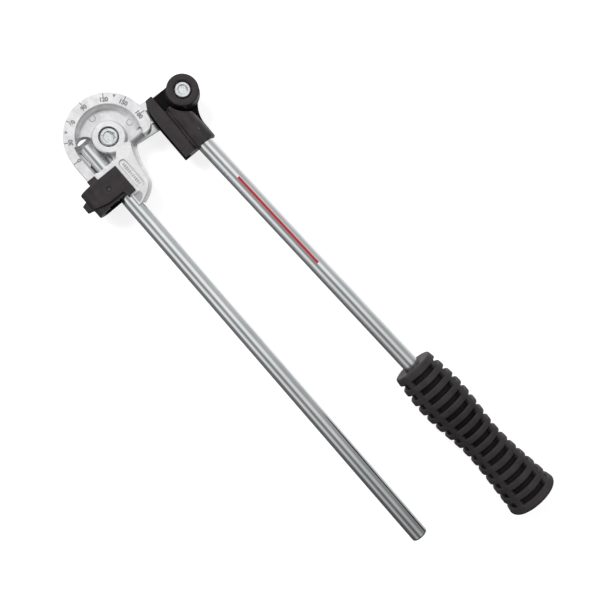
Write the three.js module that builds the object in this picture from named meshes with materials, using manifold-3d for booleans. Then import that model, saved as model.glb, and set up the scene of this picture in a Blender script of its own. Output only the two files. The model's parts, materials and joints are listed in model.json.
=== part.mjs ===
// Manual tube bender (hand lever bender) for 12 mm tube, lying on its back with the scale facing up.
//
// A die-cast former carries a round fixed bar, a swinging tube hook and the main pivot pin. A flat link
// under the former swings on that pin and carries the slide shoe on its outer pin. The lever bar and its
// ribbed grip are fixed in the shoe. Everything is drawn with the main pivot at the origin, the middle
// plane of the tube groove at z = 0, the fixed bar running along +X and the scale facing +Z. All lengths
// are millimetres.
import * as THREE from 'three';
import { mergeVertices } from 'three/addons/utils/BufferGeometryUtils.js';
import Module from 'manifold-3d';

const wasm = await Module();
wasm.setup();

// ---------------------------------------------------------------- driving dimensions
const TUBE_R = 6;                    // the tube that the tool bends: 12 mm outside
const BEND_R = 35;                   // bend radius to the tube's centre line, and the former's rim
const GROOVE_R = TUBE_R + 0.2;
const BAR_R = 7;                     // both bars are 14 mm round steel
const CLEAR = 0.15;                  // gap between pieces that fit into each other

const FRONT = 9;                     // the former's scale face
const BACK = -8.5;                   // the former's back face
const FLOOR = 1.5;                   // floor of the recess in the scale face
const RECESS_R = 25.8;
const RECESS_FILLET = 4.6;           // reach of the soft corner between the recess's wall and floor
const BOSS_R = 13.2;
const OPENING = { x: 12, low: 10.2, high: 22.6 };  // where the recess opens on the lever's side
const BUSH_R = { main: 6.5, lever: 6 };
const LABEL_FIELD = { x0: 22.9, x1: 43.1, y: -5.2, r: 3.2, depth: 0.8 };
const TIP_FIELD = {
  outline: [[47, -9.4], [47, -15.2], [54.6, -15.2], [52.8, -11], [49.6, -8.6]],
  depth: 0.6,
};
const RIGHT_X = 15.3;                // the rim ends here on the lever's side
const FIXED_BAR = { y: -18.5, start: -7, end: 402.6 };
const ARM_END_X = 40;                // end of the sleeve round the fixed bar
const ARM_LOW_Y = -16.3;             // lower edge of the arm's tip
const ROLL_PIN = { x: 8, r: 2, wall: 0.75, top: 3, gap: 0.7 };  // gap: the angle of its slot

const HOOK_PIN = { x: 32, y: -26.6, r: 1.75 };
const HOOK = { left: 20.9, right: 45.2, high: -11, low: -46.5, front: 12.3, back: -11.8, corner: 10 };
const HOOK_LEDGE = { x: 40.3, top: -19.2, curveStart: -31, foot: 35.3 };
const HOOK_COLLAR = { right: 43, faceInset: 2.4, lowInset: 0.6 };
const HOOK_LUG = { left: 27.4, right: 35, low: -50.8, half: 4.5 };
const HOOK_SLOT = 0.3;                // gap between the hook's cheeks and the former's foot
const HOOK_TAB = { left: 16.9, high: -28.4, low: -36 };

const OUTER_PIN = { x: 8.5, y: 67.8 };  // at rest the link stands at the scale's 180 degree mark
const LINK = { r: 12.9, top: -9.3, bottom: -13.3 };
const WASHER_T = 0.6;
const MAIN_PIN = { r: 5, head: 7, headLow: 5.2, top: FRONT, bore: 8 };
const LEVER_PIN = { r: 4.5, head: 6.3, headLow: 9.2, top: 13, bore: 6.6 };
const PIN_END = -17;
const CLIP_GROOVE = 0.5;

const SHOE = { left: -4.1, right: 49.8, low: BEND_R + 0.8, web: -2, socketR: 10.2 };
const STRIP = { top: 46.3, front: 7.5, leadIn: 19 };
const SHOE_BOSS = { r: 13, foot: 13.6, footTop: 1.5, valley: 16.2 };
const SHOE_VALLEY = { x: 12, y: 48.9, z: 7.7, r: 1.7, turn: -2.2 };
const SOCKET_START = 20;
const LEVER_PIN_T = 40;              // the lever bar's roll pin, along the bar
const LEVER_TILT = THREE.MathUtils.degToRad(2.55);
const LEVER_OFFSET = 53.4;           // distance of the lever bar's axis from the main pivot
const LEVER_BAR = { start: 22.3, end: 438 };
const GRIP = { start: 297.3, end: 446.2, firstRib: 311.1, pitch: 10, ribs: 13, ribWidth: 5, depth: 3.2 };
const GRIP_SIDES = 20;
const GRIP_BRIDGES = { count: 4, first: -42.5, width: 5 };  // first is its angle from straight up, in degrees
// The grip's radius over its ribs, at distances along the lever bar.
const GRIP_CURVE = new THREE.SplineCurve([
  [297, 17.7], [311, 19.4], [330, 20.9], [350, 20.0], [370, 17.9],
  [383, 17.2], [400, 18.0], [425, 20.4], [447, 22.9],
].map(([t, r]) => new THREE.Vector2(t, r)));

// ---------------------------------------------------------------- materials
function finish(colour, roughness, metalness) {
  return new THREE.MeshStandardMaterial({ color: colour, roughness, metalness });
}

const CAST_ALUMINIUM = finish(0xc6c8ca, 0.5, 0.9);
const ZINC_STEEL = finish(0xb4babf, 0.3, 1.0);
const PIN_STEEL = finish(0xd0d3d5, 0.22, 1.0);
const SPRING_STEEL = finish(0x4a4744, 0.45, 0.9);
const BRONZE = finish(0x6e5638, 0.5, 0.9);
const BLACK_CASTING = finish(0x2b292b, 0.55, 0.3);
const BLACK_RUBBER = finish(0x242424, 0.7, 0.0);

// ---------------------------------------------------------------- solids
function toSolid(geometry) {
  const bare = geometry.clone();
  bare.deleteAttribute('normal');
  bare.deleteAttribute('uv');
  const merged = mergeVertices(bare, 1e-4);
  const vertProperties = new Float32Array(merged.attributes.position.array);
  const triVerts = new Uint32Array(merged.index.array);
  return new wasm.Manifold(new wasm.Mesh({ numProp: 3, vertProperties, triVerts }));
}

function toGeometry(solid) {
  const mesh = solid.getMesh();
  const geometry = new THREE.BufferGeometry();
  geometry.setAttribute('position', new THREE.BufferAttribute(new Float32Array(mesh.vertProperties), 3));
  geometry.setIndex(new THREE.BufferAttribute(new Uint32Array(mesh.triVerts), 1));
  geometry.computeVertexNormals();
  return geometry;
}

function join(first, ...others) {
  return others.reduce((sum, other) => sum.add(other), first);
}

function cut(first, ...others) {
  return others.reduce((rest, other) => rest.subtract(other), first);
}

// A shape in the XY plane, extruded from one height to another.
function prism(shape, low, high, curveSegments = 12) {
  const settings = { depth: high - low, bevelEnabled: false, curveSegments };
  return toSolid(new THREE.ExtrudeGeometry(shape, settings).translate(0, 0, low));
}

function block(x0, x1, y0, y1, z0, z1) {
  const geometry = new THREE.BoxGeometry(x1 - x0, y1 - y0, z1 - z0);
  return toSolid(geometry.translate((x0 + x1) / 2, (y0 + y1) / 2, (z0 + z1) / 2));
}

// A shape in the YZ plane, extruded along X.
function acrossPrism(shape, x0, x1, curveSegments = 8) {
  const settings = { depth: x1 - x0, bevelEnabled: false, curveSegments };
  const upright = new THREE.Matrix4().set(0, 0, 1, x0, 1, 0, 0, 0, 0, 1, 0, 0, 0, 0, 0, 1);
  return toSolid(new THREE.ExtrudeGeometry(shape, settings).applyMatrix4(upright));
}

// A cylinder standing on the XY plane.
function disc(x, y, r, low, high, segments = 32) {
  const geometry = new THREE.CylinderGeometry(r, r, high - low, segments);
  return toSolid(geometry.rotateX(Math.PI / 2).translate(x, y, (low + high) / 2));
}

// A profile of [radius, height] points turned round the Z axis.
function turned(profile, segments = 28) {
  const points = profile.map(([radius, height]) => new THREE.Vector2(radius, height));
  return new THREE.LatheGeometry(points, segments).rotateX(Math.PI / 2);
}

// A profile of [radius, distance] points turned round the X axis.
function turnedAlongX(profile, segments = 28) {
  return turned(profile, segments).rotateY(Math.PI / 2);
}

// A cylinder lying along X.
function rod(x0, x1, y, z, r, segments = 28) {
  return toSolid(turnedAlongX([[0, x0], [r, x0], [r, x1], [0, x1]], segments).translate(0, y, z));
}

// The same, lying along the lever bar's slightly tilted axis.
function leverRod(t0, t1, r, segments = 28) {
  const geometry = turnedAlongX([[0, t0], [r, t0], [r, t1], [0, t1]], segments);
  return toSolid(geometry.translate(0, LEVER_OFFSET, 0).rotateZ(LEVER_TILT));
}

// A bar with chamfered ends, along X.
function chamferedBar(x0, x1, r, chamfer) {
  const inner = r - chamfer;
  return turnedAlongX([[0, x0], [inner, x0], [r, x0 + chamfer], [r, x1 - chamfer], [inner, x1], [0, x1]], 28);
}

// Joins outlines of equal point count at rising heights into one closed solid.
function loft(sections) {
  const count = sections[0].points.length;
  const positions = sections.flatMap(({ points, z }) => points.flatMap((p) => [p.x, p.y, z]));
  const indices = [];
  for (let layer = 0; layer < sections.length - 1; layer += 1) {
    for (let i = 0; i < count; i += 1) {
      const a = layer * count + i;
      const b = layer * count + ((i + 1) % count);
      indices.push(a, b, b + count, a, b + count, a + count);
    }
  }
  const top = (sections.length - 1) * count;
  for (const [a, b, c] of THREE.ShapeUtils.triangulateShape(sections[0].points, [])) {
    indices.push(a, c, b, top + a, top + b, top + c);
  }
  const geometry = new THREE.BufferGeometry();
  geometry.setAttribute('position', new THREE.Float32BufferAttribute(positions, 3));
  geometry.setIndex(indices);
  return toSolid(geometry);
}

// A ring, or a C-shaped clip or spring pin where there is an opening angle.
function ringShape(outer, inner, opening = 0) {
  const shape = new THREE.Shape();
  if (opening === 0) {
    shape.absarc(0, 0, outer, 0, 2 * Math.PI, false);
    const hole = new THREE.Path();
    hole.absarc(0, 0, inner, 0, 2 * Math.PI, true);
    shape.holes.push(hole);
    return shape;
  }
  shape.absarc(0, 0, outer, opening / 2, 2 * Math.PI - opening / 2, false);
  shape.absarc(0, 0, inner, 2 * Math.PI - opening / 2, opening / 2, true);
  shape.closePath();
  return shape;
}

function obround(x0, x1, y, r) {
  const shape = new THREE.Shape();
  shape.absarc(x1, y, r, -Math.PI / 2, Math.PI / 2, false);
  shape.absarc(x0, y, r, Math.PI / 2, 1.5 * Math.PI, false);
  shape.closePath();
  return shape;
}

function polygon(...points) {
  return new THREE.Shape(points.map(([x, y]) => new THREE.Vector2(x, y)));
}

const model = new THREE.Group();

function addPiece(name, shape, material, parent = model) {
  const geometry = shape.isBufferGeometry ? shape : toGeometry(shape);
  const mesh = new THREE.Mesh(geometry, material);
  mesh.name = name;
  parent.add(mesh);
  return mesh;
}

// ---------------------------------------------------------------- former
// The wheel, and the foot that holds the fixed bar. The foot ends in a knuckle round the hook's pin.
function wheelOutline() {
  const knuckle = HOOK_PIN.y + BEND_R;
  const flangeEnd = THREE.MathUtils.degToRad(72.5);
  const shape = new THREE.Shape();
  shape.moveTo(RIGHT_X, ARM_LOW_Y);
  shape.lineTo(RIGHT_X, 26);
  shape.quadraticCurveTo(RIGHT_X, 30.5, BEND_R * Math.cos(flangeEnd), BEND_R * Math.sin(flangeEnd));
  shape.absarc(0, 0, BEND_R, flangeEnd, 1.5 * Math.PI, false);
  shape.absarc(HOOK_PIN.x, HOOK_PIN.y, knuckle, -Math.PI / 2, 0, false);
  shape.lineTo(ARM_END_X, ARM_LOW_Y);
  shape.closePath();
  return shape;
}

// The arm's upper side spreads into a skirt, steeper and steeper towards the back.
function armOutline(spread) {
  const shape = new THREE.Shape();
  shape.moveTo(12, ARM_LOW_Y);
  shape.lineTo(55.8 + spread * 0.1, ARM_LOW_Y);
  const shoulder = { x: 44, y: 1.6 + spread * 0.64 };
  shape.bezierCurveTo(
    54.5 + spread * 0.14, spread * 0.4 - 8, 49.5, spread * 0.6 - 0.2, shoulder.x, shoulder.y,
  );
  shape.quadraticCurveTo(22 - spread * 0.2, 5 + spread * 0.86, 15, 9.5 + spread * 1.1);
  shape.lineTo(12, 9.5 + spread * 1.1);
  return shape.getPoints(7);
}

function arm() {
  const layers = [[BACK, 5], [-5, 4.9], [0, 4], [5, 2.2], [FRONT, 0]];
  return loft(layers.map(([z, spread]) => ({ points: armOutline(spread), z })));
}

// The recess follows the rim on the left, opens on the lever's side above the arm, and ends in straight walls
// beside the arm and the fixed bar. The rim keeps a blunt end beside the opening.
function recessShape() {
  const lowerX = 16.5;
  const lowY = FIXED_BAR.y - BAR_R - 0.2;
  const upperAngle = THREE.MathUtils.degToRad(68);
  const lowerAngle = Math.PI + Math.asin(-lowY / RECESS_R) - 0.12;
  const shape = new THREE.Shape();
  shape.absarc(0, 0, RECESS_R, upperAngle, lowerAngle, false);
  shape.quadraticCurveTo(-6, lowY, -2, lowY);
  shape.lineTo(lowerX - 2, lowY);
  shape.quadraticCurveTo(lowerX, lowY, lowerX, lowY + 2);
  shape.lineTo(lowerX, -7);
  shape.lineTo(BOSS_R - 1.2, -3);
  shape.lineTo(BOSS_R - 1.8, 5);
  shape.lineTo(OPENING.x, OPENING.low);
  shape.lineTo(OPENING.x + 8, OPENING.low);
  shape.lineTo(OPENING.x + 8, OPENING.high);
  shape.lineTo(OPENING.x + 2.4, OPENING.high);
  shape.quadraticCurveTo(OPENING.x, OPENING.high + 0.6, OPENING.x - 1.1, OPENING.high + 1.6);
  shape.closePath();
  return shape;
}

// The boss, with a softened top edge and a small fillet at its foot.
function boss() {
  const foot = BOSS_R + 1;
  const edge = BOSS_R - 0.8;
  return toSolid(turned([
    [0, FLOOR - 1], [foot, FLOOR - 1], [foot, FLOOR], [BOSS_R + 0.2, FLOOR + 0.8], [BOSS_R, FLOOR + 2],
    [BOSS_R, FRONT - 0.8], [edge, FRONT], [edge, FRONT + 2], [0, FRONT + 2],
  ], 44));
}

// What stays of the recess's corner: a curved ring from the wall down to the floor.
function recessFillet() {
  const corner = new THREE.QuadraticBezierCurve(
    new THREE.Vector2(RECESS_R, FRONT - 1.5),
    new THREE.Vector2(RECESS_R - 0.6, FLOOR),
    new THREE.Vector2(RECESS_R - RECESS_FILLET, FLOOR),
  );
  const outer = RECESS_R + 2;
  const profile = [[outer, FLOOR - 1], [outer, FRONT - 1.5]];
  corner.getPoints(5).forEach((p) => profile.push([p.x, p.y]));
  profile.push([RECESS_R - RECESS_FILLET, FLOOR - 1], [outer, FLOOR - 1]);
  return toSolid(turned(profile, 56)).intersect(block(-40, 8, -40, 40, -20, 20));
}

function scaleRecess() {
  return cut(prism(recessShape(), FLOOR, FRONT + 1, 16), boss(), recessFillet());
}

// The bar's channel runs on past the bar's end and is rounded off.
function channelEnd() {
  const r = BAR_R + 0.6;
  const { start, y } = FIXED_BAR;
  const ball = new THREE.SphereGeometry(r, 28, 14).rotateX(Math.PI / 2).translate(start, y, 0);
  return join(toSolid(ball), disc(start, y, r, -0.01, FRONT - 1));
}

// The small deep corner between the boss, the bar and the arm.
function cornerPocket() {
  return prism(obround(10.2, 12.6, -10.1, 1.9), FLOOR - 5, FRONT, 6);
}

// Rounds the wheel off on the lever's side, where the recess is open.
function openShoulder() {
  const { x, low, high } = OPENING;
  const outer = x + 6;
  const section = polygon(
    [x - 0.9, FLOOR + 0.1], [outer, FLOOR + 0.1], [outer, -6], [x + 3.4, -5], [x + 2.4, -1.5], [x + 0.9, 0.8],
  );
  const geometry = new THREE.ExtrudeGeometry(section, { depth: high - low, bevelEnabled: false });
  return toSolid(geometry.rotateX(Math.PI / 2).translate(0, high, 0));
}

// The recess's lower wall leans back beside the fixed bar, so that the bar stands free.
function barRelief() {
  const wall = FIXED_BAR.y - BAR_R;
  const low = BAR_R - 3;
  const high = FRONT + 0.1;
  const section = polygon([wall + 1, low], [wall - 0.2, low], [wall - 2.2, high], [wall + 1, high]);
  const reach = join(disc(0, 0, RECESS_R + 1.8, -20, 20, 56), block(0, 20, -30, 0, -20, 20));
  return acrossPrism(section, FIXED_BAR.start - 3, 15.5, 1).intersect(reach);
}

// The back is lightened round the boss, and left solid under the fixed bar and the arm.
function backRecess() {
  const web = 5;
  const ring = prism(ringShape(RECESS_R, BOSS_R), BACK - 1, FLOOR - web, 16);
  return cut(ring, block(-12, 40, -27, -9.8, BACK - 2, FLOOR), block(11.5, 40, -30, 30, BACK - 2, FLOOR));
}

// Half-round tube groove: round the rim, and straight under the foot where the hook holds the tube.
function tubeGroove() {
  const section = new THREE.Path().absarc(BEND_R, 0, GROOVE_R, 0, 2 * Math.PI, false).getPoints(8);
  const ring = toSolid(new THREE.LatheGeometry(section, 56).rotateX(Math.PI / 2));
  const left = ring.intersect(block(-50, 0, -50, 50, -10, 10));
  const right = ring.intersect(block(0, 30, 15, 50, -10, 10));
  return join(left, right, rod(-0.01, 60, -BEND_R, 0, GROOVE_R));
}

function former() {
  const { x0, x1, y, r, depth } = LABEL_FIELD;
  const labelField = prism(obround(x0, x1, y, r), FRONT - depth, FRONT + 1);
  const tipField = prism(polygon(...TIP_FIELD.outline), FRONT - TIP_FIELD.depth, FRONT + 1);
  const body = join(prism(wheelOutline(), BACK, FRONT, 26), arm());
  return cut(
    body,
    scaleRecess(),
    channelEnd(),
    cornerPocket(),
    openShoulder(),
    barRelief(),
    backRecess(),
    tubeGroove(),
    labelField,
    tipField,
    rod(FIXED_BAR.start - 0.3, 80, FIXED_BAR.y, 0, BAR_R + CLEAR),
    disc(0, 0, MAIN_PIN.bore, MAIN_PIN.headLow - 0.2, FRONT + 1),
    disc(0, 0, BUSH_R.main + CLEAR, BACK - 1, FRONT),
    disc(HOOK_PIN.x, HOOK_PIN.y, HOOK_PIN.r + CLEAR, BACK - 1, FRONT + 1, 20),
    disc(ROLL_PIN.x, FIXED_BAR.y, ROLL_PIN.r + CLEAR, BACK - 1, ROLL_PIN.top, 20),
  );
}

// Sprung pins driven in from the back hold each bar in its casting.
function rollPin() {
  const section = ringShape(ROLL_PIN.r, ROLL_PIN.r - ROLL_PIN.wall, ROLL_PIN.gap);
  return prism(section, BACK + 0.3, ROLL_PIN.top - 0.2, 8);
}

function fixedBar() {
  const bar = toSolid(chamferedBar(FIXED_BAR.start, FIXED_BAR.end, BAR_R, 1).translate(0, FIXED_BAR.y, 0));
  return cut(
    bar,
    disc(HOOK_PIN.x, HOOK_PIN.y, HOOK_PIN.r + CLEAR, -10, 10, 20),
    disc(ROLL_PIN.x, FIXED_BAR.y, ROLL_PIN.r + CLEAR, BACK - 1, ROLL_PIN.top, 20),
  );
}

// ---------------------------------------------------------------- pins, bushes, washers and clips
function headedPin({ r, head, headLow, top }) {
  const clipLow = LINK.bottom - 2.3;
  const clipHigh = LINK.bottom - 1.1;
  const dish = 0.35;
  return turned([
    [0, PIN_END], [r - 0.6, PIN_END], [r, PIN_END + 0.6],
    [r, clipLow], [r - CLIP_GROOVE, clipLow], [r - CLIP_GROOVE, clipHigh], [r, clipHigh],
    [r, headLow], [head, headLow], [head, top - 0.6], [head - 0.6, top],
    [head * 0.62, top], [head * 0.5, top - dish], [0, top - dish],
  ], 24);
}

function bush(inner, outer, low, high) {
  return prism(ringShape(outer, inner), low, high, 12);
}

function addPinSet(prefix, pin, parent) {
  addPiece(`${prefix}_pin`, headedPin(pin), PIN_STEEL, parent);
  const washer = prism(ringShape(pin.r + 4, pin.r + CLEAR), LINK.bottom - 1, LINK.bottom - 0.1, 12);
  addPiece(`${prefix}_pin_washer`, washer, ZINC_STEEL, parent);
  const clipShape = ringShape(pin.r + 2.4, pin.r - CLIP_GROOVE + CLEAR, 1);
  const clip = prism(clipShape, LINK.bottom - 2.2, LINK.bottom - 1.2, 10);
  addPiece(`${prefix}_pin_circlip`, clip, SPRING_STEEL, parent);
}

// A thin washer between the link and the casting above it.
function thrustWasher(outer, inner) {
  return prism(ringShape(outer, inner), LINK.top + 0.1, LINK.top + 0.1 + WASHER_T, 14);
}

// ---------------------------------------------------------------- link
function linkPlate() {
  const length = Math.hypot(OUTER_PIN.x, OUTER_PIN.y);
  const plate = prism(obround(0, length, 0, LINK.r), LINK.bottom, LINK.top, 14);
  return cut(
    plate,
    disc(0, 0, MAIN_PIN.r + CLEAR, -20, 0, 32),
    disc(length, 0, LEVER_PIN.r + CLEAR, -20, 0, 32),
  );
}

// ---------------------------------------------------------------- slide shoe
// The pressing strip over the tube groove, with its leading edge rounded off so that it can swing open.
function stripShape() {
  const shape = new THREE.Shape();
  shape.moveTo(SHOE.right, STRIP.top);
  shape.lineTo(SHOE.left, STRIP.top);
  shape.lineTo(SHOE.left, SHOE.low + 5.4);
  shape.quadraticCurveTo(SHOE.left, SHOE.low + 4.4, SHOE.left + 1.4, SHOE.low + 3.8);
  shape.quadraticCurveTo(6, SHOE.low + 0.1, STRIP.leadIn, SHOE.low);
  shape.lineTo(SHOE.right, SHOE.low);
  shape.closePath();
  return shape;
}

// The web joins the strip, the pivot boss and the bar socket.
function webShape() {
  const top = 66.4;
  const shape = new THREE.Shape();
  shape.moveTo(SHOE.left, 44);
  shape.lineTo(SHOE.right, 44);
  shape.lineTo(SHOE.right, top);
  shape.lineTo(37, top);
  shape.quadraticCurveTo(27, top + 0.4, OUTER_PIN.x + LINK.r * 0.87, OUTER_PIN.y + LINK.r * 0.5);
  shape.lineTo(OUTER_PIN.x, OUTER_PIN.y);
  shape.lineTo(OUTER_PIN.x - LINK.r, OUTER_PIN.y);
  shape.quadraticCurveTo(SHOE.left, 60, SHOE.left, 52);
  shape.closePath();
  return shape;
}

// The pivot boss widens a little at its foot. It can grow past its top, to keep what a cut would take.
function shoeBoss(grow = 0) {
  const { r, foot, footTop } = SHOE_BOSS;
  const { top } = LEVER_PIN;
  const profile = [
    [0, BACK], [r - 0.1, BACK], [r - 0.1, SHOE.web - 1], [foot, SHOE.web - 1], [foot, SHOE.web + 1],
    [r + 0.9, footTop], [r, 6], [r, top - 0.8], [r - 0.8, top + grow], [0, top + grow],
  ];
  return toSolid(turned(profile, 40).translate(OUTER_PIN.x, OUTER_PIN.y, 0));
}

// Parts the strip's top from the socket.
function stripValley() {
  const { x, y, z, r, turn } = SHOE_VALLEY;
  return rod(x, SHOE.right + 10, 0, z, r, 20).rotate([0, 0, turn]).translate([0, y, 0]);
}

function slideShoe() {
  const { x, y } = OUTER_PIN;
  const valley = cut(disc(x, y, SHOE_BOSS.valley, SHOE.web, 20, 40), shoeBoss(8));
  const socket = leverRod(SOCKET_START - 6, SHOE.right + 4, SHOE.socketR, 36)
    .intersect(block(-10, SHOE.right, 30, 80, BACK, 12));
  const body = join(
    cut(join(prism(webShape(), BACK, SHOE.web), socket), valley),
    prism(stripShape(), BACK, STRIP.front, 8),
    shoeBoss(),
  );
  return cut(
    body,
    rod(SHOE.left - 5, SHOE.right + 5, BEND_R, 0, GROOVE_R),
    leverRod(LEVER_BAR.start - 0.3, SHOE.right + 8, BAR_R + CLEAR),
    countersunkHole(x, y),
    stripValley(),
    disc(x, y, BUSH_R.lever + CLEAR, BACK - 1, 10),
    leverPinHole(),
  );
}

function countersunkHole(x, y) {
  const { bore, headLow, top } = LEVER_PIN;
  const depth = 1.4;
  const low = headLow - 0.2;
  const high = top + 0.1;
  const profile = [[0, low], [bore, low], [bore, top - depth], [bore + depth + 0.1, high], [0, high]];
  return toSolid(turned(profile, 40).translate(x, y, 0));
}

function leverPinHole() {
  const hole = disc(LEVER_PIN_T, LEVER_OFFSET, ROLL_PIN.r + CLEAR, BACK - 1, ROLL_PIN.top, 20);
  return hole.rotate([0, 0, THREE.MathUtils.radToDeg(LEVER_TILT)]);
}

function leverBar() {
  const bar = toSolid(chamferedBar(LEVER_BAR.start, LEVER_BAR.end, BAR_R, 1));
  return cut(bar, disc(LEVER_PIN_T, 0, ROLL_PIN.r + CLEAR, BACK - 1, ROLL_PIN.top, 20));
}

// ---------------------------------------------------------------- grip
function gripRadius(t) {
  const samples = GRIP_CURVE.getPoints(120);
  const next = samples.findIndex((p) => p.x >= t);
  const after = samples[Math.max(next, 1)];
  const before = samples[Math.max(next, 1) - 1];
  return THREE.MathUtils.mapLinear(t, before.x, after.x, before.y, after.y);
}

function gripProfile() {
  const bore = BAR_R + CLEAR;
  const profile = [[bore, GRIP.start + 1.5], [BAR_R + 2, GRIP.start], [gripRadius(GRIP.start), GRIP.start]];
  for (let i = -1; i < GRIP.ribs; i += 1) {
    const ribEnd = GRIP.firstRib + i * GRIP.pitch + GRIP.ribWidth / 2;
    const nextRib = ribEnd + GRIP.pitch - GRIP.ribWidth;
    profile.push([gripRadius(ribEnd), ribEnd], [gripRadius(ribEnd) - GRIP.depth, ribEnd + 0.4]);
    profile.push([gripRadius(nextRib) - GRIP.depth, nextRib - 0.4], [gripRadius(nextRib), nextRib]);
  }
  const endR = gripRadius(GRIP.end - 1);
  const boreEnd = LEVER_BAR.end + 0.5;
  profile.push([endR, GRIP.end - 2], [endR - 2, GRIP.end], [0, GRIP.end], [0, boreEnd]);
  profile.push([bore, boreEnd], [bore, GRIP.start + 1.5]);
  return profile;
}

// Lengthwise bridges cross the grooves between the ribs, a little below the ribs' surface.
function gripBridges(body) {
  const { count, first, width } = GRIP_BRIDGES;
  const thickness = GRIP.depth + 2;
  const outer = GRIP_CURVE.getPoints(40).map((p) => [p.y - 0.3, p.x]);
  const inner = outer.map(([r, t]) => [r - thickness, t]).reverse();
  const tube = toSolid(turnedAlongX([...outer, ...inner, outer[0]], GRIP_SIDES));
  const slab = block(GRIP.start + 4, GRIP.end - 6, -width / 2, width / 2, 0, 30);
  const turns = Array.from({ length: count }, (_, i) => first + (i * 360) / count);
  return join(body, ...turns.map((degrees) => tube.intersect(slab.rotate([degrees, 0, 0]))));
}

function grip() {
  return gripBridges(toSolid(turnedAlongX(gripProfile(), GRIP_SIDES)));
}

// ---------------------------------------------------------------- hook
// The hook's section across the tube: flat faces, and a rounded underside. Insets make the smaller collar.
function hookSection(faceInset, lowInset, x0, x1) {
  const { high } = HOOK;
  const low = HOOK.low + lowInset;
  const front = HOOK.front - faceInset;
  const back = HOOK.back + faceInset;
  const corner = Math.min(HOOK.corner, (front - back) / 2 - 0.5);
  const shape = new THREE.Shape();
  shape.moveTo(high, back);
  shape.lineTo(high, front);
  shape.lineTo(low + corner, front);
  shape.absarc(low + corner, front - corner, corner, Math.PI / 2, Math.PI, false);
  shape.absarc(low + corner, back + corner, corner, Math.PI, 1.5 * Math.PI, false);
  shape.closePath();
  return acrossPrism(shape, x0, x1);
}

// Seen from the scale side, the thick part of the hook ends in a ledge that curves in under the tube.
function hookPlan() {
  const { left, right, high, low } = HOOK;
  const { x, top, curveStart, foot } = HOOK_LEDGE;
  const shape = new THREE.Shape();
  shape.moveTo(left, high);
  shape.lineTo(left, low);
  shape.lineTo(foot, low);
  shape.quadraticCurveTo(x - 0.7, curveStart - 8, x, curveStart);
  shape.lineTo(x, top);
  shape.lineTo(right, top + 0.4);
  shape.lineTo(right, high);
  shape.closePath();
  return prism(shape, HOOK.back - 1, HOOK.front + 1, 8);
}

// A clevis that straddles the former's foot and cradles the tube from below.
function hook() {
  const { left, right, high, low, front, back } = HOOK;
  const { faceInset, lowInset, right: collarRight } = HOOK_COLLAR;
  const { left: lugLeft, right: lugRight, low: lugLow, half } = HOOK_LUG;
  const thick = hookSection(0, 0, left, right).intersect(hookPlan());
  const collar = hookSection(faceInset, lowInset, left, collarRight);
  const tab = block(HOOK_TAB.left, left + 1, HOOK_TAB.low, HOOK_TAB.high, FRONT + HOOK_SLOT, front - 0.4);
  const lug = polygon(
    [lugLeft - 1, low + 2], [lugLeft + 1, lugLow], [lugRight - 0.8, lugLow], [lugRight + 0.6, low + 2],
  );
  return cut(
    join(thick, collar, tab, prism(lug, -half, half)),
    block(0, 60, -BEND_R - HOOK_SLOT, high + 1, BACK - HOOK_SLOT, FRONT + HOOK_SLOT),
    rod(0, 60, -BEND_R, 0, GROOVE_R + 0.1),
    disc(HOOK_PIN.x, HOOK_PIN.y, HOOK_PIN.r + CLEAR, back - 1, front + 1, 20),
  );
}

// ---------------------------------------------------------------- assembly
function addFormer() {
  addPiece('former', former(), CAST_ALUMINIUM);
  addPiece('main_pin_bush', bush(MAIN_PIN.r + CLEAR, BUSH_R.main, BACK, MAIN_PIN.headLow - 0.3), BRONZE);
  addPinSet('main', MAIN_PIN, model);
  addPiece('link_washer', thrustWasher(11, BUSH_R.main + 0.1), ZINC_STEEL);
  addPiece('fixed_bar', fixedBar(), ZINC_STEEL);
  addPiece('fixed_bar_roll_pin', rollPin(), SPRING_STEEL).position.set(ROLL_PIN.x, FIXED_BAR.y, 0);
  const pin = disc(0, 0, HOOK_PIN.r, HOOK.back + 0.2, HOOK.front - 0.4, 20);
  addPiece('hook_pin', pin, SPRING_STEEL).position.set(HOOK_PIN.x, HOOK_PIN.y, 0);
  addPiece('hook', hook(), BLACK_CASTING);
}

function addLink() {
  const link = addPiece('link_plate', linkPlate(), ZINC_STEEL);
  link.rotation.z = Math.atan2(OUTER_PIN.y, OUTER_PIN.x);
  const outer = new THREE.Group();
  outer.position.set(OUTER_PIN.x, OUTER_PIN.y, 0);
  addPinSet('lever', LEVER_PIN, outer);
  addPiece('shoe_washer', thrustWasher(10, BUSH_R.lever + 0.1), ZINC_STEEL, outer);
  const leverBush = bush(LEVER_PIN.r + CLEAR, BUSH_R.lever, BACK, LEVER_PIN.headLow - 0.3);
  addPiece('lever_pin_bush', leverBush, BRONZE, outer);
  model.add(outer);
}

function addLever() {
  addPiece('slide_shoe', slideShoe(), BLACK_CASTING);
  const tilted = new THREE.Group();
  tilted.rotation.z = LEVER_TILT;
  const axis = new THREE.Group();
  axis.position.y = LEVER_OFFSET;
  addPiece('lever_bar', leverBar(), ZINC_STEEL, axis);
  addPiece('lever_roll_pin', rollPin(), SPRING_STEEL, axis).position.x = LEVER_PIN_T;
  addPiece('grip', grip(), BLACK_RUBBER, axis);
  tilted.add(axis);
  model.add(tilted);
}

// The finished tool stands with its origin under the middle of its box.
function standOnOrigin() {
  model.updateMatrixWorld(true);
  const box = new THREE.Box3().setFromObject(model, true);
  const middle = box.getCenter(new THREE.Vector3());
  model.position.set(-middle.x, -middle.y, -box.min.z);
}

addFormer();
addLink();
addLever();
standOnOrigin();

export default model;
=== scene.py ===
"""Looks of the manual tube bender.

Detailed pieces, procedural materials and a studio light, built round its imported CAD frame.
"""
import json
import math
import random

import bmesh
import bpy
from mathutils import Matrix, Vector


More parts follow.
